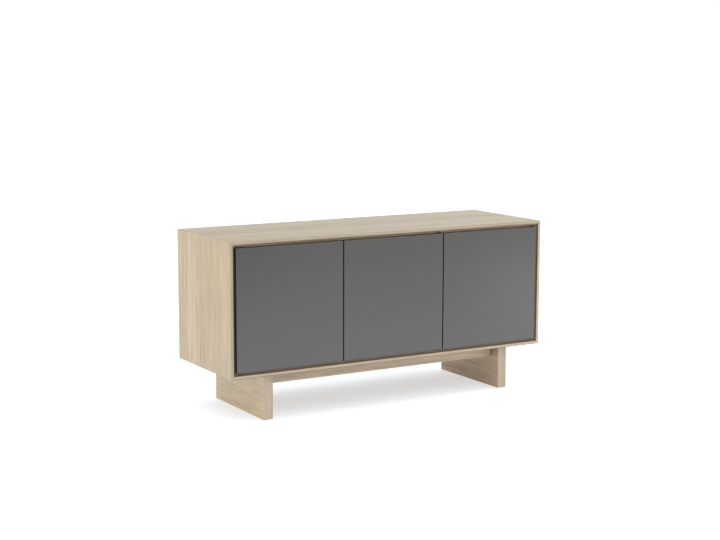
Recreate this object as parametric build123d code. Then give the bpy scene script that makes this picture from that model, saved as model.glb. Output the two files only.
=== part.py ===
from build123d import *
import os

# A low media console: a mitred oak case with three flat glass-faced doors, set back
# in a dark shadow gap, on two panel legs joined by rails.
# Frame: X to the right, Y to the back, Z up. The origin is on the floor, under the middle
# of the case. Millimetres.

# ---- driving dimensions ----
WIDTH = 1650.0
DEPTH = 550.0
CASE_HEIGHT = 600.0
LEG_HEIGHT = 205.0            # floor to the underside of the case, on the feet

PANEL = 26.0                  # thickness of the four case panels
LIP = 13.0                    # oak edge left in front of the shadow gap
REVEAL_SETBACK = 10.0         # the dark strip stands this far behind the front
STRIP_DEPTH = 18.0
DIVIDER = 20.0

GLASS = 3.0
DOOR_CORE = 16.0
DOOR_INSET = 28.0             # outer door edges, from the outside of the case
DOOR_GAP = 6.0                # between neighbouring doors
DOOR_STRIP_GAP = 2.0          # between a door and the dark strip

PIVOT_IN = 12.0               # pivot axis from the hinge edge of the door
PIVOT_BACK = 7.0              # pivot axis behind the door's face
PIN_R = 2.0
PIN_CLEARANCE = 0.05
PIN_LENGTH = 12.0             # inside the door
BUSH_R = 3.2
BUSH_LENGTH = 14.0
BUSH_FLANGE_R = 5.0
BUSH_FLANGE = 1.9
PLATE_HALF = 19.0
PLATE_SHIFT = 8.0             # the plate's middle is this far in from the pivot axis
PLATE_T = 3.0
PLATE_BACK_LAND = 2.0         # strip left behind the plate
LUG_R = 4.5
SCREW_R = 1.4
SCREW_HEAD_R = 2.8
SCREW_HEAD = 1.2
CROSS_W = 0.8                 # arms of the cross recesses
CROSS_REACH = 0.68            # of the head's radius
CROSS_DEPTH = 0.6             # of the head's height
PLATE_SCREW_AT = 13.0
PLATE_SCREW_LENGTH = 8.0

LATCH_FROM_DIVIDER = 28.0
LATCH_HALF_W = 9.0
LATCH_H = 22.0
LATCH_LENGTH = 46.0
LATCH_FLANGE_HALF_W = 17.0
LATCH_FLANGE_T = 3.0
LATCH_FLANGE_SETBACK = 6.0    # flange ends, from the ends of the latch
LATCH_SCREW_AT = 13.0
LATCH_SCREW_R = 1.5
LATCH_SCREW_HEAD_R = 2.9
LATCH_SCREW_HEAD = 1.8
LATCH_SCREW_LENGTH = 11.0
PLUNGER_R = 4.0
PLUNGER_LENGTH = 34.0
PLUNGER_TIP_R = 3.2
PLUNGER_TIP = 3.0
PLUNGER_TRAVEL = 4.0
PLUNGER_GAP = 0.4             # from the plunger's tip to the strike plate
STRIKE_R = 7.0
STRIKE_T = 1.0
STOP_HALF_W = 9.0
STOP_DEPTH = 16.0
STOP_H = 12.0
BUMPER_R = 3.5
BUMPER_T = 2.5
BUMPER_GAP = 0.5

SHELF_T = 18.0
SHELF_SIDE_GAP = 1.5
SHELF_FRONT_GAP = 22.0        # behind the dividers' front edge
SHELF_BACK_GAP = 28.0
SHELF_Z = 268.0               # underside, above the case floor
SHELF_NOTCH_R = 25.0          # half-round lead notch in the back edge
SHELF_PIN_R = 2.5
SHELF_PIN_OUT = 9.0
SHELF_PIN_IN = 8.0
SHELF_PIN_PLATE = 1.5
PIN_COLUMN_IN = 55.0          # pin columns, from the shelf's front and back edges
PIN_PITCH = 32.0
PIN_ROWS = (-2, -1, 0, 1, 2)

BACK_T = 6.0
BACK_RECESS = 8.0
BACK_LIP = 14.0               # panel left round the back recess
BACK_GAP = 1.0
PORT_R = 30.0
GROMMET_WALL = 3.0
GROMMET_FLANGE = 5.0
GROMMET_FLANGE_T = 2.0
BACK_PORT_DROP = 110.0        # port centre above the case floor
SLOT_COUNT = 9
SLOT_LENGTH = 46.0
SLOT_W = 6.0
SLOT_PITCH = 18.0
SLOT_DROP = 50.0              # slot centres below the case ceiling
FINGER_R = 13.0
MAGNET_R = 5.0
MAGNET_T = 3.0

LEG_T = 46.0
LEG_OUTER = 655.0             # outer faces, from the middle
LEG_HALF_DEPTH = 245.0
RAIL_FRONT = 194.0            # rail faces, from the middle
RAIL_T = 22.0
RAIL_H = 54.0
RAIL_END_GAP = 8.0

PAD_R = 15.0
PAD_T = 7.0
PAD_DISC = 4.5
PAD_CHAMFER = 1.5
PAD_HEX_R = 9.0               # corners of the hexagon used to turn the foot
PAD_PROUD = 2.0               # pads stand this far below the legs
PAD_RECESS_R = 17.0
PAD_RECESS = 8.0
STEM_R = 4.0
STEM_LENGTH = 30.0
STEM_CLEARANCE = 0.05
INSERT_R = 6.0
INSERT_LENGTH = 34.0
FOOT_IN = 60.0                # feet, from the leg's front and back

BOLT_R = 4.0
BOLT_CLEARANCE = 0.05
BOLT_HEAD_R = 7.0
BOLT_HEAD = 6.0
BOLT_LENGTH = 70.0
BOLT_SOCKET_R = 2.9           # corners of the hexagon socket
BOLT_SOCKET = 3.5
BOLT_AT = (-190.0, 0.0, 190.0)

BRACKET_T = 3.0
BRACKET_LEG = 42.0
BRACKET_RAIL = 48.0
BRACKET_H = 34.0
BRACKET_SCREW_R = 2.0
BRACKET_HEAD_R = 4.0
BRACKET_HEAD = 1.6
BRACKET_SCREW = 16.0

SPLINE_T = 4.0
SPLINE_W = 16.0

# ---- worked-out places ----
HALF_W = WIDTH / 2
FRONT = -DEPTH / 2
BACK = DEPTH / 2
Z_LOW = LEG_HEIGHT
Z_HIGH = LEG_HEIGHT + CASE_HEIGHT
FLOOR = Z_LOW + PANEL
CEILING = Z_HIGH - PANEL
STRIP_FRONT = FRONT + REVEAL_SETBACK
CARCASS_FRONT = STRIP_FRONT + STRIP_DEPTH
BACK_SEAT = BACK - BACK_RECESS
DOOR_BACK = FRONT + GLASS + DOOR_CORE
DOOR_W = (2 * (HALF_W - DOOR_INSET) - 2 * DOOR_GAP) / 3
DOOR_LOW = Z_LOW + DOOR_INSET
DOOR_HIGH = Z_HIGH - DOOR_INSET
DIVIDER_X = (DOOR_W + DOOR_GAP) / 2
PIVOT_Y = FRONT + PIVOT_BACK
DOORS = {
    "left": (-HALF_W + DOOR_INSET, -1),
    "middle": (-DOOR_W / 2, 1),
    "right": (HALF_W - DOOR_INSET - DOOR_W, 1),
}
BAYS = {
    "left": (-HALF_W + PANEL, -DIVIDER_X - DIVIDER / 2),
    "middle": (-DIVIDER_X + DIVIDER / 2, DIVIDER_X - DIVIDER / 2),
    "right": (DIVIDER_X + DIVIDER / 2, HALF_W - PANEL),
}
LATCH_Z = CEILING - LATCH_H / 2
LATCH_TIP = DOOR_BACK + STRIKE_T + PLUNGER_GAP
LATCH_FRONT = LATCH_TIP + PLUNGER_TIP + PLUNGER_TRAVEL
SHELF_LOW = FLOOR + SHELF_Z
SHELF_FRONT = CARCASS_FRONT + SHELF_FRONT_GAP
SHELF_BACK = BACK_SEAT - SHELF_BACK_GAP
PIN_Z = SHELF_LOW - SHELF_PIN_PLATE - SHELF_PIN_R
LEG_INNER = LEG_OUTER - LEG_T
FOOT_Y = LEG_HALF_DEPTH - FOOT_IN
PORT_Z = FLOOR + BACK_PORT_DROP


# ---- helpers ----
def block(x, y, z):
    """A box from pairs of limits."""
    size = (x[1] - x[0], y[1] - y[0], z[1] - z[0])
    middle = ((x[0] + x[1]) / 2, (y[0] + y[1]) / 2, (z[0] + z[1]) / 2)
    return Pos(*middle) * Box(*size)


def rod(radius, start, end):
    """A cylinder from start to end along one axis."""
    path = Vector(*end) - Vector(*start)
    plane = Plane(origin=start, z_dir=path)
    return extrude(plane * Circle(radius), path.length)


def prism_xz(points, y):
    """A polygon in X and Z, drawn out along Y."""
    face = Plane.XZ * make_face(Polyline(*points, close=True).edges())
    return Pos(0, y[1], 0) * extrude(face, y[1] - y[0])


def hexagon(corner_r, start, end):
    """A hexagonal bar from start to end along one axis."""
    path = Vector(*end) - Vector(*start)
    plane = Plane(origin=start, z_dir=path)
    return extrude(plane * RegularPolygon(corner_r, 6), path.length)


def cross_recess(at, axis, head_r, head_h):
    """A cross recess in a screw head whose outer face is centred at a point.

    The axis is the direction from the head into the shank.
    """
    depth = head_h * CROSS_DEPTH
    plane = Plane(origin=at, z_dir=axis)
    reach = 2 * head_r * CROSS_REACH
    arms = Rectangle(reach, CROSS_W) + Rectangle(CROSS_W, reach)
    return extrude(plane * arms, depth)


def join(pieces):
    """Pieces that touch, as one solid."""
    whole = pieces[0]
    for piece in pieces[1:]:
        whole = whole + piece
    return whole


def cut(body, tools):
    """The body without the tools."""
    for tool in tools:
        body = body - tool
    return body


def save(name, pieces):
    """Write one node, of one or more separate solids."""
    solids = [solid for piece in pieces for solid in piece.solids()]
    shape = solids[0] if len(solids) == 1 else Compound(children=solids)
    shape.label = name
    export_step(shape, os.path.join("parts", name + ".step"))


# ---- case ----
def frame_side(side, outer, inner, y):
    """One mitred side of a rectangular frame. Outer and inner are insets from the case."""
    x_out, x_in = HALF_W - outer, HALF_W - inner
    z_out, z_in = (Z_LOW + outer, Z_HIGH - outer), (Z_LOW + inner, Z_HIGH - inner)
    corners = {
        "top": [(-x_out, z_out[1]), (x_out, z_out[1]), (x_in, z_in[1]), (-x_in, z_in[1])],
        "bottom": [(-x_out, z_out[0]), (x_out, z_out[0]), (x_in, z_in[0]), (-x_in, z_in[0])],
        "left": [(-x_out, z_out[0]), (-x_out, z_out[1]), (-x_in, z_in[1]), (-x_in, z_in[0])],
        "right": [(x_out, z_out[0]), (x_out, z_out[1]), (x_in, z_in[1]), (x_in, z_in[0])],
    }
    return prism_xz(corners[side], y)


def recesses():
    """The front rabbet that holds the dark strips, and the rabbet for the back panels."""
    front_x = HALF_W - LIP
    back_x = HALF_W - BACK_LIP
    front = block((-front_x, front_x), (FRONT, CARCASS_FRONT), (Z_LOW + LIP, Z_HIGH - LIP))
    back_z = (Z_LOW + BACK_LIP, Z_HIGH - BACK_LIP)
    return [front, block((-back_x, back_x), (BACK_SEAT, BACK), back_z)]


def splines():
    """Loose tongues across the four mitres."""
    tongues = []
    reach = PANEL / 2
    for side_x in (-1, 1):
        for z, side_z in ((Z_LOW + reach, -1), (Z_HIGH - reach, 1)):
            tongue = Box(SPLINE_W, DEPTH - 4 * PANEL, SPLINE_T)
            lean = side_x * side_z * 45
            tongues.append(Pos(side_x * (HALF_W - reach), 0, z) * Rot(0, lean, 0) * tongue)
    return tongues


def leg_bolt_places():
    leg_middle = (LEG_OUTER + LEG_INNER) / 2
    return [(side * leg_middle, y) for side in (-1, 1) for y in BOLT_AT]


def leg_bolt(x, y, grow):
    """A countersunk furniture bolt from the case floor down into a leg."""
    head = rod(BOLT_HEAD_R + grow, (x, y, FLOOR - BOLT_HEAD), (x, y, FLOOR))
    end = FLOOR - BOLT_LENGTH - grow
    return head + rod(BOLT_R + grow, (x, y, end), (x, y, FLOOR - BOLT_HEAD))


def leg_bolt_socket(x, y):
    return hexagon(BOLT_SOCKET_R, (x, y, FLOOR - BOLT_SOCKET), (x, y, FLOOR))


def shelf_pin_ends():
    """Each wall that carries shelf pins: its face in X, and the way its pins point."""
    ends = []
    for low, high in BAYS.values():
        ends += [(low, 1), (high, -1)]
    return ends


def shelf_pin_columns():
    return (SHELF_FRONT + PIN_COLUMN_IN, SHELF_BACK - PIN_COLUMN_IN)


def pin_holes():
    """Line-bored holes for the shelf pins."""
    holes = []
    for face, way in shelf_pin_ends():
        for y in shelf_pin_columns():
            for row in PIN_ROWS:
                z = PIN_Z + row * PIN_PITCH
                holes.append(rod(SHELF_PIN_R, (face, y, z), (face - way * SHELF_PIN_IN, y, z)))
    return holes


def magnet_places():
    """Magnets in the back edges of the dividers, two for each panel edge."""
    places = []
    for x in (-DIVIDER_X, DIVIDER_X):
        for z in (FLOOR + PORT_R * 2, CEILING - PORT_R * 2):
            places.append((x, z))
    return places


def magnet(x, z):
    return rod(MAGNET_R, (x, BACK_SEAT - MAGNET_T, z), (x, BACK_SEAT, z))


def make_case():
    tongues = splines()
    rabbets = recesses()
    holes = pin_holes()
    bolts = [leg_bolt(x, y, BOLT_CLEARANCE) for x, y in leg_bolt_places()]
    for side in ("top", "bottom", "left", "right"):
        panel = cut(frame_side(side, 0, PANEL, (FRONT, BACK)), rabbets + tongues)
        if side == "bottom":
            panel = cut(panel, bolts)
        if side == "top":
            panel = cut(panel, [screw for name in DOORS for screw in latch_screws(name)])
        if side in ("left", "right"):
            panel = cut(panel, holes)
        name = side + ("_side_panel" if side in ("left", "right") else "_panel")
        save(name, [panel])
    save("corner_splines", tongues)
    save("leg_bolts", [leg_bolt(x, y, 0) - leg_bolt_socket(x, y) for x, y in leg_bolt_places()])


def make_dividers():
    holes = pin_holes()
    magnets = [magnet(x, z) for x, z in magnet_places()]
    grommets = []
    for name, x in (("left", -DIVIDER_X), ("right", DIVIDER_X)):
        faces = (x - DIVIDER / 2, x + DIVIDER / 2)
        divider = block(faces, (CARCASS_FRONT, BACK_SEAT), (FLOOR, CEILING))
        port_y = BACK_SEAT - 3 * PORT_R
        port = rod(PORT_R, (faces[0], port_y, PORT_Z), (faces[1], port_y, PORT_Z))
        save(name + "_divider", [cut(divider, holes + magnets + [port])])
        grommets.append(divider_grommet(faces, port_y))
    save("divider_grommets", grommets)
    save("panel_magnets", magnets)


def divider_grommet(faces, y):
    """A cable ring through a divider, with a flange on each side."""
    ring = rod(PORT_R, (faces[0], y, PORT_Z), (faces[1], y, PORT_Z))
    for face, way in ((faces[0], -1), (faces[1], 1)):
        outer = (face + way * GROMMET_FLANGE_T, y, PORT_Z)
        ring = ring + rod(PORT_R + GROMMET_FLANGE, (face, y, PORT_Z), outer)
    reach = GROMMET_FLANGE_T
    low, high = (faces[0] - reach, y, PORT_Z), (faces[1] + reach, y, PORT_Z)
    return ring - rod(PORT_R - GROMMET_WALL, low, high)


# ---- pivots, strips ----
def pivot_x(name):
    edge, side = DOORS[name]
    return edge + PIVOT_IN if side < 0 else edge + DOOR_W - PIVOT_IN


def pivot_levels():
    """The strip face at the top and at the bottom, and the way into the strip."""
    return ((CEILING, 1), (FLOOR, -1))


def plate_middle(name):
    return pivot_x(name) - DOORS[name][1] * PLATE_SHIFT


def plate_outline(name, face, way):
    """The pivot plate: a leaf let into the strip and a lug in front of it."""
    x, middle = pivot_x(name), plate_middle(name)
    level = tuple(sorted((face, face + way * PLATE_T)))
    leaf_y = (STRIP_FRONT, CARCASS_FRONT - PLATE_BACK_LAND)
    leaf = block((middle - PLATE_HALF, middle + PLATE_HALF), leaf_y, level)
    neck = block((x - LUG_R, x + LUG_R), (PIVOT_Y, STRIP_FRONT), level)
    return join([leaf, neck, rod(LUG_R, (x, PIVOT_Y, level[0]), (x, PIVOT_Y, level[1]))])


def plate_screws(name, face, way):
    y = (STRIP_FRONT + CARCASS_FRONT - PLATE_BACK_LAND) / 2
    screws = []
    for side in (-1, 1):
        at = plate_middle(name) + side * PLATE_SCREW_AT
        head_top = face + way * SCREW_HEAD
        head = rod(SCREW_HEAD_R, (at, y, face), (at, y, head_top))
        end = face + way * PLATE_SCREW_LENGTH
        screws.append(head + rod(SCREW_R, (at, y, head_top), (at, y, end)))
    return screws


def make_pivots():
    screws = []
    for name in DOORS:
        x = pivot_x(name)
        plates = []
        for face, way in pivot_levels():
            own = plate_screws(name, face, way)
            y = (STRIP_FRONT + CARCASS_FRONT - PLATE_BACK_LAND) / 2
            for screw, side in zip(own, (-1, 1)):
                at = (plate_middle(name) + side * PLATE_SCREW_AT, y, face)
                recess = cross_recess(at, (0, 0, way), SCREW_HEAD_R, SCREW_HEAD)
                screws.append(screw - recess)
            end = face - way * (DOOR_STRIP_GAP + PIN_LENGTH)
            pin = rod(PIN_R, (x, PIVOT_Y, face), (x, PIVOT_Y, end))
            plates.append(cut(plate_outline(name, face, way), own) + pin)
        save(name + "_door_pivots", plates)
    save("pivot_screws", screws)


def make_strips():
    tools = []
    for name in DOORS:
        for face, way in pivot_levels():
            tools.append(plate_outline(name, face, way))
            tools += plate_screws(name, face, way)
    for side in ("top", "bottom", "left", "right"):
        strip = frame_side(side, LIP, PANEL, (STRIP_FRONT, CARCASS_FRONT))
        if side in ("top", "bottom"):
            strip = cut(strip, tools)
        save(side + "_reveal_strip", [strip])


# ---- doors ----
def latch_x(name):
    """Each latch is near the free edge of its door."""
    low, high = BAYS[name]
    return high - LATCH_FROM_DIVIDER if DOORS[name][1] < 0 else low + LATCH_FROM_DIVIDER


def door_bush(x, face, way):
    """A flanged bush let into the door's edge, round the pivot pin."""
    edge = face - way * DOOR_STRIP_GAP
    body = rod(BUSH_R, (x, PIVOT_Y, edge), (x, PIVOT_Y, edge - way * BUSH_LENGTH))
    flange = rod(BUSH_FLANGE_R, (x, PIVOT_Y, edge), (x, PIVOT_Y, edge + way * BUSH_FLANGE))
    ends = (edge + way * BUSH_FLANGE, edge - way * BUSH_LENGTH)
    bore = rod(PIN_R + PIN_CLEARANCE, (x, PIVOT_Y, ends[0]), (x, PIVOT_Y, ends[1]))
    return body + flange - bore


def make_door(name):
    edge = DOORS[name][0]
    span = (edge, edge + DOOR_W)
    height = (DOOR_LOW, DOOR_HIGH)
    x = pivot_x(name)
    core = block(span, (FRONT + GLASS, DOOR_BACK), height)
    for face, way in pivot_levels():
        inner = face - way * (DOOR_STRIP_GAP + BUSH_LENGTH)
        core = core - rod(BUSH_R, (x, PIVOT_Y, face), (x, PIVOT_Y, inner))
    at = latch_x(name)
    strike = rod(STRIKE_R, (at, DOOR_BACK, LATCH_Z), (at, DOOR_BACK + STRIKE_T, LATCH_Z))
    save(name + "_door_glass", [block(span, (FRONT, FRONT + GLASS), height)])
    save(name + "_door_core", [core])
    save(name + "_door_bushes", [door_bush(x, face, way) for face, way in pivot_levels()])
    save(name + "_door_strike", [strike])


def latch_screw_places(name):
    middle = LATCH_FRONT + LATCH_LENGTH / 2
    return [(latch_x(name) + side * LATCH_SCREW_AT, middle) for side in (-1, 1)]


def latch_screws(name):
    """The two screws that hold a latch's flange up under the case top."""
    screws = []
    under = CEILING - LATCH_FLANGE_T
    for x, y in latch_screw_places(name):
        head = rod(LATCH_SCREW_HEAD_R, (x, y, under - LATCH_SCREW_HEAD), (x, y, under))
        shank_end = (x, y, under + LATCH_SCREW_LENGTH)
        screws.append(head + rod(LATCH_SCREW_R, (x, y, under), shank_end))
    return screws


def make_latch(name):
    x = latch_x(name)
    tip = LATCH_TIP
    shoulder = tip + PLUNGER_TIP
    plunger = rod(PLUNGER_R, (x, shoulder, LATCH_Z), (x, tip + PLUNGER_LENGTH, LATCH_Z))
    plunger = plunger + rod(PLUNGER_TIP_R, (x, tip, LATCH_Z), (x, shoulder, LATCH_Z))
    front = LATCH_FRONT
    body_z = (CEILING - LATCH_H, CEILING)
    body = block((x - LATCH_HALF_W, x + LATCH_HALF_W), (front, front + LATCH_LENGTH), body_z)
    flange_y = (front + LATCH_FLANGE_SETBACK, front + LATCH_LENGTH - LATCH_FLANGE_SETBACK)
    flange_x = (x - LATCH_FLANGE_HALF_W, x + LATCH_FLANGE_HALF_W)
    body = body + block(flange_x, flange_y, (CEILING - LATCH_FLANGE_T, CEILING))
    body = cut(body, latch_screws(name))
    bore_end = tip + PLUNGER_LENGTH + PLUNGER_TRAVEL + 1
    bore = rod(PLUNGER_R + PIN_CLEARANCE, (x, front, LATCH_Z), (x, bore_end, LATCH_Z))
    save(name + "_latch_body", [body - bore])
    save(name + "_latch_plunger", [plunger])


def make_latch_screws():
    screws = []
    head_face = CEILING - LATCH_FLANGE_T - LATCH_SCREW_HEAD
    for name in DOORS:
        for (x, y), screw in zip(latch_screw_places(name), latch_screws(name)):
            at = (x, y, head_face)
            recess = cross_recess(at, (0, 0, 1), LATCH_SCREW_HEAD_R, LATCH_SCREW_HEAD)
            screws.append(screw - recess)
    save("latch_screws", screws)


def make_stops():
    """Blocks on the case floor that the doors close against."""
    stops = []
    bumpers = []
    front = DOOR_BACK + BUMPER_GAP + BUMPER_T
    for name in DOORS:
        x = latch_x(name)
        span = (x - STOP_HALF_W, x + STOP_HALF_W)
        stops.append(block(span, (front, front + STOP_DEPTH), (FLOOR, FLOOR + STOP_H)))
        z = DOOR_LOW + BUMPER_R + 1
        bumpers.append(rod(BUMPER_R, (x, front - BUMPER_T, z), (x, front, z)))
    save("door_stops", stops)
    save("stop_bumpers", bumpers)


# ---- shelves, back ----
def make_shelves():
    depth = (SHELF_FRONT, SHELF_BACK)
    height = (SHELF_LOW, SHELF_LOW + SHELF_T)
    for name, (low, high) in BAYS.items():
        board = block((low + SHELF_SIDE_GAP, high - SHELF_SIDE_GAP), depth, height)
        middle = (low + high) / 2
        notch = rod(SHELF_NOTCH_R, (middle, SHELF_BACK, height[0]), (middle, SHELF_BACK, height[1]))
        save(name + "_shelf", [board - notch])
    save("shelf_pins", [shelf_pin(f, w, y) for f, w in shelf_pin_ends() for y in shelf_pin_columns()])


def shelf_pin(face, way, y):
    """A spoon pin: a peg in its hole and a flat pad under the shelf."""
    inner, outer = face - way * SHELF_PIN_IN, face + way * SHELF_PIN_OUT
    peg = rod(SHELF_PIN_R, (inner, y, PIN_Z), (outer, y, PIN_Z))
    span = tuple(sorted((face, outer)))
    pad_y = (y - SHELF_PIN_R * 1.6, y + SHELF_PIN_R * 1.6)
    return peg + block(span, pad_y, (PIN_Z, SHELF_LOW))


def back_edges(name):
    """Left and right edges of a back panel, short of its neighbours."""
    outer = HALF_W - BACK_LIP - BACK_GAP
    inner = DIVIDER_X - BACK_GAP / 2
    return {
        "left": (-outer, -inner - BACK_GAP),
        "middle": (-inner, inner),
        "right": (inner + BACK_GAP, outer),
    }[name]


def make_back(name):
    low, high = back_edges(name)
    middle = (low + high) / 2
    depth = (BACK_SEAT, BACK_SEAT + BACK_T)
    inset = BACK_LIP + BACK_GAP
    panel = block((low, high), depth, (Z_LOW + inset, Z_HIGH - inset))
    port = rod(PORT_R, (middle, depth[0], PORT_Z), (middle, depth[1], PORT_Z))
    finger_z = Z_HIGH - inset
    finger = rod(FINGER_R, (middle, depth[0], finger_z), (middle, depth[1], finger_z))
    slot_z = CEILING - SLOT_DROP
    slots = []
    for i in range(SLOT_COUNT):
        x = middle + (i - (SLOT_COUNT - 1) / 2) * SLOT_PITCH
        face = Plane.XZ * Pos(x, slot_z) * SlotOverall(SLOT_LENGTH, SLOT_W, rotation=90)
        slots.append(Pos(0, depth[1], 0) * extrude(face, BACK_T))
    save(name + "_back_panel", [cut(panel, [port, finger] + slots)])
    save(name + "_back_grommet", [back_grommet(middle, depth)])


def back_grommet(x, depth):
    """A cable ring let into a back panel, flanged on the outside."""
    outside = depth[1] + GROMMET_FLANGE_T
    ring = rod(PORT_R, (x, depth[0], PORT_Z), (x, depth[1], PORT_Z))
    ring = ring + rod(PORT_R + GROMMET_FLANGE, (x, depth[1], PORT_Z), (x, outside, PORT_Z))
    return ring - rod(PORT_R - GROMMET_WALL, (x, depth[0], PORT_Z), (x, outside, PORT_Z))


# ---- base ----
def foot_places():
    leg_middle = (LEG_OUTER + LEG_INNER) / 2
    return {
        "left_front": (-leg_middle, -FOOT_Y),
        "left_rear": (-leg_middle, FOOT_Y),
        "right_front": (leg_middle, -FOOT_Y),
        "right_rear": (leg_middle, FOOT_Y),
    }


def make_feet():
    inserts = []
    seat = PAD_PROUD + PAD_RECESS
    for name, (x, y) in foot_places().items():
        disc = rod(PAD_R, (x, y, 0), (x, y, PAD_DISC))
        pad = chamfer(disc.edges().sort_by(Axis.Z)[0], PAD_CHAMFER)
        pad = pad + hexagon(PAD_HEX_R, (x, y, PAD_DISC), (x, y, PAD_T))
        stem = rod(STEM_R, (x, y, PAD_T), (x, y, PAD_T + STEM_LENGTH))
        save(name + "_foot", [pad + stem])
        shell = rod(INSERT_R, (x, y, seat), (x, y, seat + INSERT_LENGTH))
        bore = rod(STEM_R + STEM_CLEARANCE, (x, y, seat), (x, y, seat + INSERT_LENGTH))
        inserts.append(shell - bore)
    save("foot_inserts", inserts)


def foot_holes():
    seat = PAD_PROUD + PAD_RECESS
    holes = []
    for x, y in foot_places().values():
        holes.append(rod(PAD_RECESS_R, (x, y, PAD_PROUD), (x, y, seat)))
        holes.append(rod(INSERT_R, (x, y, seat), (x, y, seat + INSERT_LENGTH)))
    return holes


def bracket_corners():
    """Inner corners between the rails' inward faces and the legs: x, y and their ways in."""
    inward = RAIL_FRONT - RAIL_T
    return [(sx * LEG_INNER, sy * inward, sx, sy) for sx in (-1, 1) for sy in (-1, 1)]


def bracket_z():
    middle = Z_LOW - RAIL_H / 2
    return (middle - BRACKET_H / 2, middle + BRACKET_H / 2)


def bracket_screws(x, y, sx, sy):
    """Two screws into the leg and two into the rail, and the recesses in their heads."""
    screws = []
    recesses = []
    for z in (bracket_z()[0] + BRACKET_H / 4, bracket_z()[1] - BRACKET_H / 4):
        at_y = y - sy * (BRACKET_LEG - BRACKET_HEAD_R * 2)
        plate_x = x - sx * BRACKET_T
        head = rod(BRACKET_HEAD_R, (plate_x - sx * BRACKET_HEAD, at_y, z), (plate_x, at_y, z))
        shank_end = (x + sx * BRACKET_SCREW, at_y, z)
        screws.append(head + rod(BRACKET_SCREW_R, (plate_x, at_y, z), shank_end))
        at = (plate_x - sx * BRACKET_HEAD, at_y, z)
        recesses.append(cross_recess(at, (sx, 0, 0), BRACKET_HEAD_R, BRACKET_HEAD))
        at_x = x - sx * (BRACKET_RAIL - BRACKET_HEAD_R * 2)
        plate_y = y - sy * BRACKET_T
        head = rod(BRACKET_HEAD_R, (at_x, plate_y - sy * BRACKET_HEAD, z), (at_x, plate_y, z))
        shank_end = (at_x, y + sy * BRACKET_SCREW, z)
        screws.append(head + rod(BRACKET_SCREW_R, (at_x, plate_y, z), shank_end))
        at = (at_x, plate_y - sy * BRACKET_HEAD, z)
        recesses.append(cross_recess(at, (0, sy, 0), BRACKET_HEAD_R, BRACKET_HEAD))
    return screws, recesses


def bracket(x, y, sx, sy):
    """A steel angle behind the joint of a rail and a leg."""
    on_leg_x = tuple(sorted((x, x - sx * BRACKET_T)))
    on_leg_y = tuple(sorted((y, y - sy * BRACKET_LEG)))
    on_rail_x = tuple(sorted((x, x - sx * BRACKET_RAIL)))
    on_rail_y = tuple(sorted((y, y - sy * BRACKET_T)))
    leaves = block(on_leg_x, on_leg_y, bracket_z()) + block(on_rail_x, on_rail_y, bracket_z())
    return cut(leaves, bracket_screws(x, y, sx, sy)[0])


def make_base():
    screws = [s for corner in bracket_corners() for s in bracket_screws(*corner)[0]]
    recesses = [r for corner in bracket_corners() for r in bracket_screws(*corner)[1]]
    bolts = [leg_bolt(x, y, BOLT_CLEARANCE) for x, y in leg_bolt_places()]
    depth = (-LEG_HALF_DEPTH, LEG_HALF_DEPTH)
    for name, side in (("left", -1), ("right", 1)):
        span = tuple(sorted((side * LEG_INNER, side * LEG_OUTER)))
        leg = block(span, depth, (PAD_PROUD, Z_LOW))
        save(name + "_leg", [cut(leg, foot_holes() + bolts + screws)])
    half = LEG_INNER - RAIL_END_GAP
    for name, side in (("front", -1), ("rear", 1)):
        faces = tuple(sorted((side * RAIL_FRONT, side * (RAIL_FRONT - RAIL_T))))
        rail = block((-half, half), faces, (Z_LOW - RAIL_H, Z_LOW))
        save(name + "_rail", [cut(rail, screws)])
    save("rail_brackets", [bracket(*corner) for corner in bracket_corners()])
    save("bracket_screws", [screw - recess for screw, recess in zip(screws, recesses)])


os.makedirs("parts", exist_ok=True)
make_case()
make_dividers()
make_strips()
make_pivots()
for door in DOORS:
    make_door(door)
    make_latch(door)
    make_back(door)
make_latch_screws()
make_stops()
make_shelves()
make_feet()
make_base()
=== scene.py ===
"""Looks for the media console: materials, rounded edges, floor, light and camera.

Metres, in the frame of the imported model: X to the right, Y to the back, Z up, doors facing -Y.
"""
import math

import bpy
from mathutils import Matrix, Vector


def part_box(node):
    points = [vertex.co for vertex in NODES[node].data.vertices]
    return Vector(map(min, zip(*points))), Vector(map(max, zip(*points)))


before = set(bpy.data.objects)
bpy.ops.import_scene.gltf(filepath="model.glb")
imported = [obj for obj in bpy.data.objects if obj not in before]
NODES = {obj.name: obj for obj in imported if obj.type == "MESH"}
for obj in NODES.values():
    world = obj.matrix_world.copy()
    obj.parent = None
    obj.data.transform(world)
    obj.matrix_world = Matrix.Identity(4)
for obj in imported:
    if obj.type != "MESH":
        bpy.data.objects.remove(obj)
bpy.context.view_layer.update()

MM = 0.001
WHITE = (1.0, 1.0, 1.0)
DOORS = ("left", "middle", "right")
FEET = ("left_front", "left_rear", "right_front", "right_rear")

# ---- places, from the frame ----
CASE_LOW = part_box("bottom_panel")[0].z
CASE_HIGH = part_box("top_panel")[1].z
HALF_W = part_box("top_panel")[1].x
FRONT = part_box("top_panel")[0].y
TOP_STRIP_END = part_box("top_reveal_strip")[1]
LIP = CASE_HIGH - TOP_STRIP_END.z
STRIP_BACK = TOP_STRIP_END.y

# ---- camera ----
CAMERA_AT = (-3.5730, -5.9956, 1.6323)
CAMERA_YAW = math.radians(30.657)
CAMERA_PITCH = math.radians(8.493)
CAMERA_ROLL = math.radians(0.121)
SENSOR = 36.0
FOCAL_LENGTH = 75.05

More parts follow.
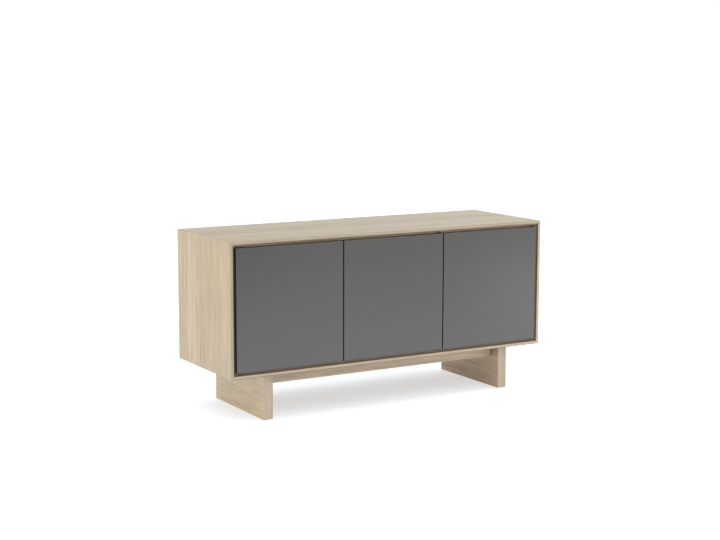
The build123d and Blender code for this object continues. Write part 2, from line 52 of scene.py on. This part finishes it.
# ---- oak colours ----
OAK_LIGHT = (0.690, 0.575, 0.410)
OAK_MID = (0.520, 0.415, 0.280)
OAK_DARK = (0.400, 0.305, 0.195)
OAK_PORE = (0.300, 0.220, 0.140)
OAK_GREY = (0.560, 0.490, 0.385)
OAK_PLAIN = (0.560, 0.455, 0.320)
EDGE_CALM = 0.45
EDGE_FACING = 0.5
CASE_TONE = (0.98, 0.92, 0.82)
RAIL_TONE = (0.98, 0.91, 0.87)
# Painted shade: the underside of the bottom panel takes a darker backing veneer, and the bottom 2
# mm of its edges a painted shadow line under the case.
BACKING_AND_SHADOW_LINE = 2 * MM
BACKING_AND_SHADOW_TONE = (0.40, 0.38, 0.37)

# ---- oak figure ----
# Ranges are given as Nodes.remap takes them, and bumps as a strength and a distance.
LEAF = 92 * MM
LEAF_TONES = (0.91, 1.07)
LEAF_JUMP = 7.0
SEED_SHIFT = 0.37
EDGE_SEED = 5.0
WANDER_SCALE = 1.2
WANDER = (0.0, 1.0, -0.02, 0.02)
CLOUD_SCALE = (1.1, 9.0, 9.0)
CLOUD = (0.40, 0.66, 0.0, 0.45)
BAND_SCALE = (0.9, 38.0, 38.0)
BAND = (0.36, 0.74)
STREAK_SCALE = (5.5, 120.0, 120.0)
STREAK = (0.48, 0.70, 0.0, 0.85)
FINE_SCALE = (9.0, 420.0, 420.0)
FINE = (0.45, 0.80, 0.0, 0.55)
PORE_SCALE = (30.0, 1100.0, 1100.0)
PORE = (0.62, 0.70)
PORE_DEPTH = 0.5
FINE_HEIGHT = 0.5
OAK_GLOSS = (-0.3, 0.5, 0.50, 0.42)
OAK_BUMP = (0.25, 0.2 * MM)

# ---- oak pieces: seed, grain and tone of the faces, grain and tone of the edges, rounding ----
# Grain is two axes: along the grain, then across it.
OAK_PIECES = {
    # Painted shade in the top panel's face tone: the top is darker and less yellow than the sides
    # because of how the light falls on it.
    "top_panel": (1.0, "xy", (0.86, 0.90, 0.985), "xz", (0.84, 0.83, 0.83), 0.4 * MM),
    "bottom_panel": (2.0, "xy", CASE_TONE, "xz", (0.84, 0.82, 0.82), 0.4 * MM),
    "left_side_panel": (3.0, "zy", CASE_TONE, "zx", (0.80, 0.79, 0.77), 0.4 * MM),
    "right_side_panel": (4.0, "zy", CASE_TONE, "zx", (0.88, 0.85, 0.85), 0.4 * MM),
    # Painted light and shade in the leg face tones: the left leg lighter, as lit from the left, and
    # the right leg darker, as shaded under the case.
    "left_leg": (8.0, "yz", (1.17, 1.11, 0.97), "zx", (1.03, 1.0, 1.0), 0.6 * MM),
    "right_leg": (9.0, "yz", (0.86, 0.79, 0.75), "zx", (0.86, 0.84, 0.85), 0.6 * MM),
    "front_rail": (10.0, "xz", RAIL_TONE, None, None, 0.5 * MM),
    "rear_rail": (11.0, "xz", RAIL_TONE, None, None, 0.5 * MM),
}
INSIDE_SEED = 6.0
SHELF_SEED = 7.0

# ---- stained wood and plywood ----
STAIN = (0.262, 0.186, 0.124)
STAIN_DARK = (0.180, 0.125, 0.080)
STAIN_ON_OAK = (0.470, 0.415, 0.400)
# Each strip's tone is painted light and shade: the top strip lighter, the left strip in painted
# shadow, the bottom and right a little darker.
STRIP_LIGHT_AND_SHADE = {"top": ("x", 1.25), "bottom": ("x", 0.9), "left": ("z", 0.22), "right": ("z", 0.9)}
STOP_SHADE = 0.7
LIP_SHOWS = 3 * MM
REVEAL_MARGIN = 0.5 * MM
STRIP_SCALE_ALONG = 7.0
STRIP_SCALE_ACROSS = 420.0
STRIP_ROUGHNESS = 0.6
STRIP_BUMP = (0.15, 0.2 * MM)
PLY_SCALE = (8.0, 8.0, 700.0)
PLY_LIGHT = (0.62, 0.5, 0.34)
PLY_DARK = (0.5, 0.38, 0.24)
PLY_ROUGHNESS = 0.7

# ---- door glass ----
GLASS_COLOURS = ((0.066, 0.061, 0.055), (0.072, 0.066, 0.060))
GLASS_ROUGHNESS = 0.28
GLASS_TOOTH_SCALE = 2600.0
GLASS_BUMP = (0.08, 0.1 * MM)
GLASS_EDGE = (0.055, 0.052, 0.050)
# Painted light: the top edges of the glass are lighter, as lit from above.
GLASS_TOP_EDGE_PAINTED_LIGHT = (0.150, 0.138, 0.125)
SQUARE_ON = 0.8

# ---- plain materials ----
WIDE_RANGE = (0.3, 0.7)
PEBBLE_RANGE = (0.35, 0.65)
BOARD_SCALE = 900.0
BOARD_SHADE = 0.82
BOARD_BUMP = (0.2, 0.2 * MM)
BOARDS = {  # colour, roughness, colour of the top edge
    # The door core's top edge colour is painted light: lighter, as lit from above.
    "door_core": ((0.042, 0.040, 0.038), 0.45, (0.170, 0.140, 0.110)),
    "back_board": ((0.060, 0.054, 0.048), 0.55, None),
}
METAL_SCALE = (60.0, 1500.0, 1500.0)
METAL_SHADE = 0.85
METAL_SPREAD = 0.08
METAL_BUMP = (0.05, 0.1 * MM)
METALS = {  # colour, roughness, metallic, brushed
    "black_steel": ((0.03, 0.03, 0.03), 0.45, 0.0, 0.0),
    "pivot_steel": ((0.035, 0.032, 0.03), 0.4, 0.0, 0.0),
    "zinc": ((0.62, 0.62, 0.60), 0.32, 1.0, 0.0),
    "brass": ((0.72, 0.53, 0.25), 0.3, 1.0, 0.0),
    "strike_steel": ((0.66, 0.66, 0.65), 0.28, 1.0, 0.1),
    "screw_steel": ((0.58, 0.58, 0.57), 0.3, 1.0, 0.0),
    "magnet": ((0.6, 0.6, 0.6), 0.25, 1.0, 0.0),
    "pin_nickel": ((0.65, 0.64, 0.62), 0.25, 1.0, 0.0),
}
PLASTIC_SCALE = 1400.0
PLASTIC_SHADE = 0.88
PLASTIC_BUMP = (0.15, 0.2 * MM)
PLASTICS = {  # colour, roughness
    "foot_plastic": ((0.04, 0.04, 0.04), 0.5),
    "bush_acetal": ((0.02, 0.02, 0.02), 0.45),
    "latch_plastic": ((0.05, 0.05, 0.052), 0.45),
    "acetal": ((0.72, 0.72, 0.70), 0.35),
    "rubber": ((0.045, 0.045, 0.045), 0.7),
}
PLAIN_PARTS = {
    "rail_brackets": "black_steel",
    "bracket_screws": "black_steel",
    "leg_bolts": "zinc",
    "foot_inserts": "brass",
    "pivot_screws": "pivot_steel",
    "latch_screws": "screw_steel",
    "divider_grommets": "latch_plastic",
    "panel_magnets": "magnet",
    "stop_bumpers": "rubber",
    "shelf_pins": "pin_nickel",
}
PLAIN_PARTS_OF_EACH_BAY = {
    "_door_core": "door_core",
    "_door_bushes": "bush_acetal",
    "_door_strike": "strike_steel",
    "_door_pivots": "pivot_steel",
    "_latch_body": "latch_plastic",
    "_latch_plunger": "acetal",
    "_back_panel": "back_board",
    "_back_grommet": "latch_plastic",
}

# ---- rounded edges ----
WELD = 0.005 * MM
SHARP = math.radians(35)
LONG_EDGE = 9 * MM
ROUNDING_SEGMENTS = 2
FACE_WEIGHT = 90
DIVIDER_ROUNDING = 0.5 * MM
SHELF_ROUNDING = 0.6 * MM
GLASS_ROUNDING = 0.5 * MM
CORE_ROUNDING = 0.3 * MM
LATCH_ROUNDING = 0.8 * MM
STOP_ROUNDING = 0.8 * MM
GROMMET_ROUNDING = 0.6 * MM

# ---- floor: white paper, and a dark sheet past a slanting edge ----
FLOOR_SIZE = 60.0
FLOOR_ROUGHNESS = 0.9
FLOOR_NEAR = (0.600, 0.650, 0.725)
FLOOR_GLOW = 0.535
FLOOR_FAR = (0.10, 0.10, 0.10)
FAR_FLOOR_Z = 0.5 * MM
EDGE_POINT = (-0.12, -2.45)
EDGE_NORMAL = (0.718, -0.696)
EDGE_FADE = (0.1, 2.6)

# ---- sky and panels ----
SKY = 2.15
SHEEN = (0.36, 0.64, 0.0, 1.7)
SHEEN_RISE = (0.0, 0.34, 1.0, 0.0)
LEAST_RADIUS = 0.01
BACKDROP = 1.1
PANELS = {  # power, place, aim, size
    "low_front_panel": (8.0, (1.6, -2.4, 0.03), (0.3, -0.3, 0.3), (2.4, 1.6)),
    "right_panel": (16.0, (2.6, -0.6, 0.7), (0.0, -0.2, 0.5), (1.6, 1.2)),
    "left_panel": (3.6, (-2.6, 0.3, 0.7), (-0.8, 0.0, 0.45), (1.6, 1.2)),
    "front_panel": (12.0, (0.2, -2.6, 2.4), (0.0, 0.0, 0.5), (2.4, 1.4)),
    "high_left_panel": (4.4, (-2.2, -0.2, 1.6), (-0.8, 0.0, 0.1), (1.6, 1.0)),
    "low_right_panel": (1.6, (2.2, -1.5, 0.12), (0.9, -0.3, 0.45), (1.4, 0.5)),
}


# ---- node building ----
def with_alpha(value):
    """A plain colour with its alpha added. Sockets and numbers stay as they are."""
    return (*value, 1.0) if isinstance(value, tuple) else value


class Nodes:
    """A node tree, built with short calls that return output sockets."""

    def __init__(self, tree):
        self.tree = tree

    def add(self, kind, **inputs):
        """A node with some inputs fed. Underscores stand for the spaces in their names."""
        node = self.tree.nodes.new(kind)
        for name, value in inputs.items():
            self.feed(node.inputs[name.replace("_", " ")], value)
        return node

    def feed(self, socket, value):
        """Link a socket to an output, or set its constant."""
        if isinstance(value, bpy.types.NodeSocket):
            self.tree.links.new(value, socket)
        else:
            socket.default_value = value

    def math(self, operation, *values):
        node = self.tree.nodes.new("ShaderNodeMath")
        node.operation = operation
        for socket, value in zip(node.inputs, values):
            self.feed(socket, value)
        return node.outputs[0]

    def split(self, vector):
        return self.add("ShaderNodeSeparateXYZ", Vector=vector).outputs

    def join(self, x, y, z):
        return self.add("ShaderNodeCombineXYZ", X=x, Y=y, Z=z).outputs[0]

    def scaled(self, vector, scale):
        return self.add("ShaderNodeMapping", Vector=vector, Scale=scale).outputs[0]

    def noise(self, vector, scale=1.0, detail=2.0, roughness=0.5, distortion=0.0):
        node = self.add(
            "ShaderNodeTexNoise", Vector=vector, Scale=scale, Detail=detail,
            Roughness=roughness, Distortion=distortion,
        )
        return node.outputs["Fac"]

    def remap(self, value, low, high, new_low=0.0, new_high=1.0):
        """The value moved from the first range to the second, and kept inside it."""
        node = self.add(
            "ShaderNodeMapRange", Value=value, From_Min=low, From_Max=high,
            To_Min=new_low, To_Max=new_high,
        )
        return node.outputs[0]

    def mix(self, factor, first, second, blend="MIX"):
        """Two colours mixed. The mix node's inputs 0, 6 and 7 are its factor and colours."""
        node = self.tree.nodes.new("ShaderNodeMix")
        node.data_type = "RGBA"
        node.blend_type = blend
        for number, value in ((0, factor), (6, first), (7, second)):
            self.feed(node.inputs[number], with_alpha(value))
        return node.outputs[2]

    def toned(self, colour, tone):
        """A colour times a plain tone."""
        return self.mix(1.0, colour, tone, blend="MULTIPLY")

    def bump(self, height, strength, distance):
        return self.add(
            "ShaderNodeBump", Height=height, Strength=strength, Distance=distance,
        ).outputs[0]


class Surface(Nodes):
    """The nodes of one new material with a Principled shader."""

    def __init__(self, name):
        self.material = bpy.data.materials.new(name)
        self.material.use_nodes = True
        super().__init__(self.material.node_tree)
        self.shader = self.tree.nodes["Principled BSDF"]
        coordinates = self.add("ShaderNodeTexCoord").outputs
        self.object_space = coordinates["Object"]
        self.object_normal = coordinates["Normal"]

    def finish(self, **inputs):
        """Feed the shader and hand over the material."""
        for name, value in inputs.items():
            self.feed(self.shader.inputs[name.replace("_", " ")], with_alpha(value))
        return self.material


# ---- wood ----
def grain_space(n, grain):
    """Object space turned so that X runs along the grain and Y across the veneer."""
    axes = dict(zip("xyz", n.split(n.object_space)))
    along, across = grain
    third = ({"x", "y", "z"} - {along, across}).pop()
    return n.join(axes[along], axes[across], axes[third])


def oak_figure(n, space, seed):
    """Colour and height of oak veneer laid in leaves, with the grain along the space's X."""
    along, across, deep = n.split(space)
    bend = n.noise(n.join(n.math("MULTIPLY", along, WANDER_SCALE), seed, 0.0), detail=1.0)
    shift = n.math("ADD", n.remap(bend, *WANDER), seed * SEED_SHIFT)
    leaf = n.math("FLOOR", n.math("ADD", n.math("DIVIDE", across, LEAF), shift))
    pick = n.add("ShaderNodeTexWhiteNoise", Vector=n.join(leaf, seed, 0.0)).outputs["Value"]
    start = n.math("ADD", along, n.math("MULTIPLY", pick, LEAF_JUMP))
    moved = n.join(start, across, n.math("ADD", deep, seed))
    cloud = n.noise(n.scaled(moved, CLOUD_SCALE), detail=2.0)
    band = n.noise(n.scaled(moved, BAND_SCALE), detail=3.0, roughness=0.65, distortion=0.25)
    streak = n.noise(n.scaled(moved, STREAK_SCALE), detail=2.0, roughness=0.6, distortion=0.1)
    fine = n.noise(n.scaled(moved, FINE_SCALE), detail=2.0, roughness=0.6)
    pore = n.remap(n.noise(n.scaled(moved, PORE_SCALE), detail=1.0), *PORE)
    colour = n.mix(n.remap(band, *BAND), OAK_LIGHT, OAK_MID)
    colour = n.mix(n.remap(streak, *STREAK), colour, OAK_DARK)
    colour = n.mix(n.remap(cloud, *CLOUD), colour, OAK_GREY)
    colour = n.mix(n.remap(fine, *FINE), colour, OAK_MID)
    pores = n.math("MULTIPLY", pore, PORE_DEPTH)
    colour = n.mix(pores, colour, OAK_PORE)
    tone = n.remap(pick, 0.0, 1.0, *LEAF_TONES)
    colour = n.toned(colour, n.join(tone, tone, tone))
    height = n.math("SUBTRACT", n.math("MULTIPLY", fine, FINE_HEIGHT), pores)
    return colour, height


def reveal_mask(n):
    """1 on the stained inner faces of the lip, in front of the dark strips."""
    x, y, z = n.split(n.object_space)
    middle = (CASE_LOW + CASE_HIGH) / 2
    half_z = (CASE_HIGH - CASE_LOW) / 2 - LIP + REVEAL_MARGIN
    half_x = HALF_W - LIP + REVEAL_MARGIN
    inside_x = n.math("LESS_THAN", n.math("ABSOLUTE", x), half_x)
    inside_z = n.math("LESS_THAN", n.math("ABSOLUTE", n.math("SUBTRACT", z, middle)), half_z)
    behind = n.math("GREATER_THAN", y, FRONT + LIP_SHOWS)
    before = n.math("LESS_THAN", y, STRIP_BACK + REVEAL_MARGIN)
    mask = n.math("MULTIPLY", inside_x, inside_z)
    return n.math("MULTIPLY", mask, n.math("MULTIPLY", behind, before))


def oak(name, grain, seed, tone=WHITE, edge=None, edge_tone=None,
        stained_reveal=False, backing_and_shadow_line=False):
    """Satin oak veneer.

    With an edge grain, the front and back edges have their own grain and tone. With
    backing_and_shadow_line, the underside has a darker backing veneer, and the lowest 2 mm of the
    edges are darkened with it as a painted shadow line under the case.
    """
    n = Surface(name)
    colour, height = oak_figure(n, grain_space(n, grain), seed)
    colour = n.toned(colour, tone)
    if edge:
        edge_colour, edge_height = oak_figure(n, grain_space(n, edge), seed + EDGE_SEED)
        edge_colour = n.toned(n.mix(EDGE_CALM, edge_colour, OAK_PLAIN), edge_tone)
        facing = n.math("ABSOLUTE", n.split(n.object_normal)[1])
        on_edge = n.math("GREATER_THAN", facing, EDGE_FACING)
        on_face = n.math("SUBTRACT", 1.0, on_edge)
        colour = n.mix(on_edge, colour, edge_colour)
        height = n.math("ADD", n.math("MULTIPLY", height, on_face),
                        n.math("MULTIPLY", edge_height, on_edge))
    if stained_reveal:
        colour = n.mix(reveal_mask(n), colour, n.toned(colour, STAIN_ON_OAK))
    # Painted shadow line: below this height the colour is darkened, on the underside as a backing
    # veneer and on the edges as shade under the case.
    if backing_and_shadow_line:
        backing_and_shadow_mask = n.math("LESS_THAN", n.split(n.object_space)[2], CASE_LOW + BACKING_AND_SHADOW_LINE)
        colour = n.mix(backing_and_shadow_mask, colour, n.toned(colour, BACKING_AND_SHADOW_TONE))
    return n.finish(
        Base_Color=colour, Roughness=n.remap(height, *OAK_GLOSS), Normal=n.bump(height, *OAK_BUMP),
    )


def stained_strip(name, along, shade):
    """Dark brown stained wood of the shadow gap, grain along one axis, times a tone that is painted
    light and shade on the reveal strips.
    """
    n = Surface(name)
    stretch = tuple(
        STRIP_SCALE_ALONG if axis == along else STRIP_SCALE_ACROSS for axis in "xyz"
    )
    grain = n.noise(n.scaled(n.object_space, stretch), detail=3.0, roughness=0.6)
    colour = n.mix(n.remap(grain, *WIDE_RANGE), STAIN, STAIN_DARK)
    # Painted light and shade: the tone brightens or darkens each strip's stain.
    return n.finish(
        Base_Color=n.toned(colour, (shade, shade, shade)), Roughness=STRIP_ROUGHNESS,
        Normal=n.bump(grain, *STRIP_BUMP),
    )


def plywood():
    """Light wood in thin level layers."""
    n = Surface("plywood")
    layers = n.noise(n.scaled(n.object_space, PLY_SCALE), detail=1.0)
    return n.finish(Base_Color=n.mix(layers, PLY_LIGHT, PLY_DARK), Roughness=PLY_ROUGHNESS)


# ---- other materials ----
def door_glass():
    """Etched grey glass, painted on the back: satin, nearly even, with dark edges, and top edges
    painted lighter as painted light from above.
    """
    n = Surface("door_glass")
    tooth = n.noise(n.object_space, scale=GLASS_TOOTH_SCALE, detail=2.0)
    normal = n.split(n.object_normal)
    lit_from_above = n.math("GREATER_THAN", normal[2], SQUARE_ON)
    flat = n.math("GREATER_THAN", n.math("ABSOLUTE", normal[1]), SQUARE_ON)
    # Painted light: upward faces of the glass edge are lighter, as lit from above.
    edge = n.mix(lit_from_above, GLASS_EDGE, GLASS_TOP_EDGE_PAINTED_LIGHT)
    return n.finish(
        Base_Color=n.mix(flat, edge, n.mix(tooth, *GLASS_COLOURS)), Roughness=GLASS_ROUGHNESS,
        Specular_IOR_Level=1.0, Normal=n.bump(tooth, *GLASS_BUMP),
    )


def speckled(n, speckle, bounds, colour, shade):
    """A colour that goes darker, by the shade, where the speckle is strong."""
    return n.mix(n.remap(speckle, *bounds), colour, tuple(c * shade for c in colour))


def faced_board(name, colour, roughness, painted_lit_top_edge):
    """Melamine or lacquer faced board, with a fine pebble. The top edge may be painted lighter, as
    painted light from above.
    """
    n = Surface(name)
    pebble = n.noise(n.object_space, scale=BOARD_SCALE, detail=2.0)
    shown = speckled(n, pebble, PEBBLE_RANGE, colour, BOARD_SHADE)
    if painted_lit_top_edge:
        # Painted light: the upward top edge is lighter, as lit from above.
        lit_from_above = n.math("GREATER_THAN", n.split(n.object_normal)[2], SQUARE_ON)
        shown = n.mix(lit_from_above, shown, painted_lit_top_edge)
    return n.finish(Base_Color=shown, Roughness=roughness, Normal=n.bump(pebble, *BOARD_BUMP))


def metal(name, colour, roughness, metallic, brushed):
    """Metal, or painted metal where metallic is 0, with fine scratches along X."""
    n = Surface(name)
    scratches = n.noise(n.scaled(n.object_space, METAL_SCALE), detail=2.0)
    half_spread = (METAL_SPREAD + brushed) / 2
    strength, distance = METAL_BUMP
    return n.finish(
        Base_Color=speckled(n, scratches, WIDE_RANGE, colour, METAL_SHADE), Metallic=metallic,
        Roughness=n.remap(scratches, *WIDE_RANGE, roughness - half_spread, roughness + half_spread),
        Normal=n.bump(scratches, strength + brushed, distance),
    )


def plastic(name, colour, roughness):
    """Moulded plastic or rubber, with a fine spark texture."""
    n = Surface(name)
    spark = n.noise(n.object_space, scale=PLASTIC_SCALE, detail=2.0)
    return n.finish(
        Base_Color=speckled(n, spark, PEBBLE_RANGE, colour, PLASTIC_SHADE),
        Roughness=roughness, Normal=n.bump(spark, *PLASTIC_BUMP),
    )


# ---- putting materials and rounded edges on the CAD nodes ----
def paint(node, material):
    """Give a node its one material."""
    slots = NODES[node].data.materials
    slots.clear()
    slots.append(material)


def long_edge_tree():
    """Geometry nodes that mark the long sharp edges for rounding, and leave the rims of bores."""
    tree = bpy.data.node_groups.new("long_edges", "GeometryNodeTree")
    for way in ("INPUT", "OUTPUT"):
        tree.interface.new_socket("Geometry", in_out=way, socket_type="NodeSocketGeometry")
    n = Nodes(tree)
    ends = n.add("GeometryNodeInputMeshEdgeVertices").outputs
    span = tree.nodes.new("ShaderNodeVectorMath")
    span.operation = "DISTANCE"
    n.feed(span.inputs[0], ends["Position 1"])
    n.feed(span.inputs[1], ends["Position 2"])
    angle = n.add("GeometryNodeInputMeshEdgeAngle").outputs["Unsigned Angle"]
    long = n.math("GREATER_THAN", span.outputs["Value"], LONG_EDGE)
    weight = n.math("MULTIPLY", long, n.math("GREATER_THAN", angle, SHARP))
    store = tree.nodes.new("GeometryNodeStoreNamedAttribute")
    store.data_type = "FLOAT"
    store.domain = "EDGE"
    n.feed(store.inputs["Geometry"], n.add("NodeGroupInput").outputs["Geometry"])
    n.feed(store.inputs["Name"], "bevel_weight_edge")
    n.feed(store.inputs["Value"], weight)
    n.feed(n.add("NodeGroupOutput").inputs["Geometry"], store.outputs["Geometry"])
    return tree


LONG_EDGES = long_edge_tree()


def soften(node, width, rims=False):
    """Small rounded edges, on long edges only, or on round rims as well.

    The faces are welded first, so that they share the edges to be rounded.
    """
    add = NODES[node].modifiers.new
    add("shared_edges", "WELD").merge_threshold = WELD
    if not rims:
        add("long_edges", "NODES").node_group = LONG_EDGES
    bevel = add("soft_edges", "BEVEL")
    bevel.width = width
    bevel.segments = ROUNDING_SEGMENTS
    bevel.limit_method = "ANGLE" if rims else "WEIGHT"
    bevel.angle_limit = SHARP
    bevel.use_clamp_overlap = True
    shading = add("even_faces", "WEIGHTED_NORMAL")
    shading.weight = FACE_WEIGHT
    shading.keep_sharp = False


def dress_oak():
    """Case, legs, rails, dividers and shelves."""
    for node, (seed, grain, tone, edge, edge_tone, rounding) in OAK_PIECES.items():
        in_case = node.endswith("_panel")
        paint(node, oak(
            "oak_" + node.removesuffix("_panel"), grain, seed, tone=tone, edge=edge,
            edge_tone=edge_tone, stained_reveal=in_case, backing_and_shadow_line=node == "bottom_panel",
        ))
        soften(node, rounding)
    inside = oak("oak_inside", "zy", INSIDE_SEED, stained_reveal=True)
    for node in ("left_divider", "right_divider"):
        paint(node, inside)
        soften(node, DIVIDER_ROUNDING)
    shelf = oak("oak_shelf", "xy", SHELF_SEED)
    for bay in DOORS:
        paint(bay + "_shelf", shelf)
        soften(bay + "_shelf", SHELF_ROUNDING)


def dress_dark_wood():
    """Reveal strips, door stops and the splines in the mitres."""
    for side, (along, shade) in STRIP_LIGHT_AND_SHADE.items():
        paint(side + "_reveal_strip", stained_strip("stained_" + side, along, shade))
    paint("door_stops", stained_strip("stained_stop", "x", STOP_SHADE))
    soften("door_stops", STOP_ROUNDING)
    paint("corner_splines", plywood())


def dress_the_rest():
    """Door faces and cores, back panels, feet and hardware."""
    glass = door_glass()
    plain = {name: faced_board(name, *look) for name, look in BOARDS.items()}
    plain.update({name: metal(name, *look) for name, look in METALS.items()})
    plain.update({name: plastic(name, *look) for name, look in PLASTICS.items()})
    for node, name in PLAIN_PARTS.items():
        paint(node, plain[name])
    for foot in FEET:
        paint(foot + "_foot", plain["foot_plastic"])
    for bay in DOORS:
        paint(bay + "_door_glass", glass)
        for ending, name in PLAIN_PARTS_OF_EACH_BAY.items():
            paint(bay + ending, plain[name])
        soften(bay + "_door_glass", GLASS_ROUNDING)
        soften(bay + "_door_core", CORE_ROUNDING)
        soften(bay + "_latch_body", LATCH_ROUNDING)
        soften(bay + "_back_grommet", GROMMET_ROUNDING, rims=True)
    soften("divider_grommets", GROMMET_ROUNDING, rims=True)


# ---- studio ----
def ground_sheet(name, height, material):
    """A level sheet under and round the whole scene."""
    mesh = bpy.data.meshes.new(name)
    half = FLOOR_SIZE / 2
    corners = [(-half, -half), (half, -half), (half, half), (-half, half)]
    mesh.from_pydata([(x, y, height) for x, y in corners], [], [(0, 1, 2, 3)])
    mesh.materials.append(material)
    sheet = bpy.data.objects.new(name, mesh)
    bpy.context.scene.collection.objects.link(sheet)
    return sheet


def make_floor():
    """White paper that glows a little, and a dark sheet to the front right.

    Only reflections show the dark sheet: the camera, soft light and shadows pass through it.
    """
    paper = Surface("floor").finish(
        Base_Color=FLOOR_NEAR, Roughness=FLOOR_ROUGHNESS, Specular_IOR_Level=0.0,
        Emission_Color=WHITE, Emission_Strength=FLOOR_GLOW,
    )
    ground_sheet("floor", 0.0, paper)
    n = Surface("far_floor")
    x, y, _ = n.split(n.object_space)
    beyond_x = n.math("MULTIPLY", n.math("SUBTRACT", x, EDGE_POINT[0]), EDGE_NORMAL[0])
    beyond_y = n.math("MULTIPLY", n.math("SUBTRACT", y, EDGE_POINT[1]), EDGE_NORMAL[1])
    far = n.remap(n.math("ADD", beyond_x, beyond_y), *EDGE_FADE)
    dark = n.finish(
        Base_Color=FLOOR_FAR, Roughness=FLOOR_ROUGHNESS, Specular_IOR_Level=0.0, Alpha=far,
    )
    sheet = ground_sheet("far_floor", FAR_FLOOR_Z, dark)
    sheet.visible_camera = False
    sheet.visible_diffuse = False
    sheet.visible_shadow = False


def make_world():
    """A soft sky, a low glow behind to the right, and a plain backdrop for the camera."""
    world = bpy.data.worlds.new("studio")
    bpy.context.scene.world = world
    world.use_nodes = True
    n = Nodes(world.node_tree)
    x, y, z = n.split(n.add("ShaderNodeTexCoord").outputs["Generated"])
    height = n.math("MAXIMUM", z, 0.0)
    sky = n.math("MULTIPLY", n.math("MULTIPLY", height, height), SKY)
    radius = n.math("SQRT", n.math("SUBTRACT", 1.0, n.math("MULTIPLY", z, z)))
    turn = n.math("DIVIDE", x, n.math("MAXIMUM", radius, LEAST_RADIUS))
    sheen = n.math("MULTIPLY", n.remap(turn, *SHEEN), n.remap(height, *SHEEN_RISE))
    sheen = n.math("MULTIPLY", sheen, n.math("GREATER_THAN", y, 0.0))
    seen = n.add("ShaderNodeLightPath").outputs["Is Camera Ray"]
    unseen = n.math("SUBTRACT", 1.0, seen)
    strength = n.math("ADD", n.math("MULTIPLY", seen, BACKDROP),
                      n.math("MULTIPLY", unseen, n.math("ADD", sky, sheen)))
    background = world.node_tree.nodes["Background"]
    n.feed(background.inputs["Strength"], strength)
    n.feed(background.inputs["Color"], with_alpha(WHITE))


def make_panels():
    """Soft light panels the camera does not see."""
    for name, (power, place, aim, size) in PANELS.items():
        data = bpy.data.lights.new(name, "AREA")
        data.shape = "RECTANGLE"
        data.size, data.size_y = size
        data.energy = power
        panel = bpy.data.objects.new(name, data)
        bpy.context.scene.collection.objects.link(panel)
        turn = (Vector(aim) - Vector(place)).to_track_quat("-Z", "Y")
        panel.matrix_world = Matrix.Translation(place) @ turn.to_matrix().to_4x4()
        panel.visible_camera = False


def make_camera():
    """The main view, from the front left and a little above."""
    data = bpy.data.cameras.new("camera")
    data.sensor_width = SENSOR
    data.lens = FOCAL_LENGTH
    camera = bpy.data.objects.new("camera", data)
    bpy.context.scene.collection.objects.link(camera)
    turn = (
        Matrix.Rotation(-CAMERA_YAW, 4, "Z")
        @ Matrix.Rotation(math.pi / 2 - CAMERA_PITCH, 4, "X")
        @ Matrix.Rotation(CAMERA_ROLL, 4, "Z")
    )
    camera.matrix_world = Matrix.Translation(CAMERA_AT) @ turn
    bpy.context.scene.camera = camera


make_camera()
make_world()
make_panels()
make_floor()
dress_oak()
dress_dark_wood()
dress_the_rest()
bpy.context.scene.view_settings.view_transform = "Standard"
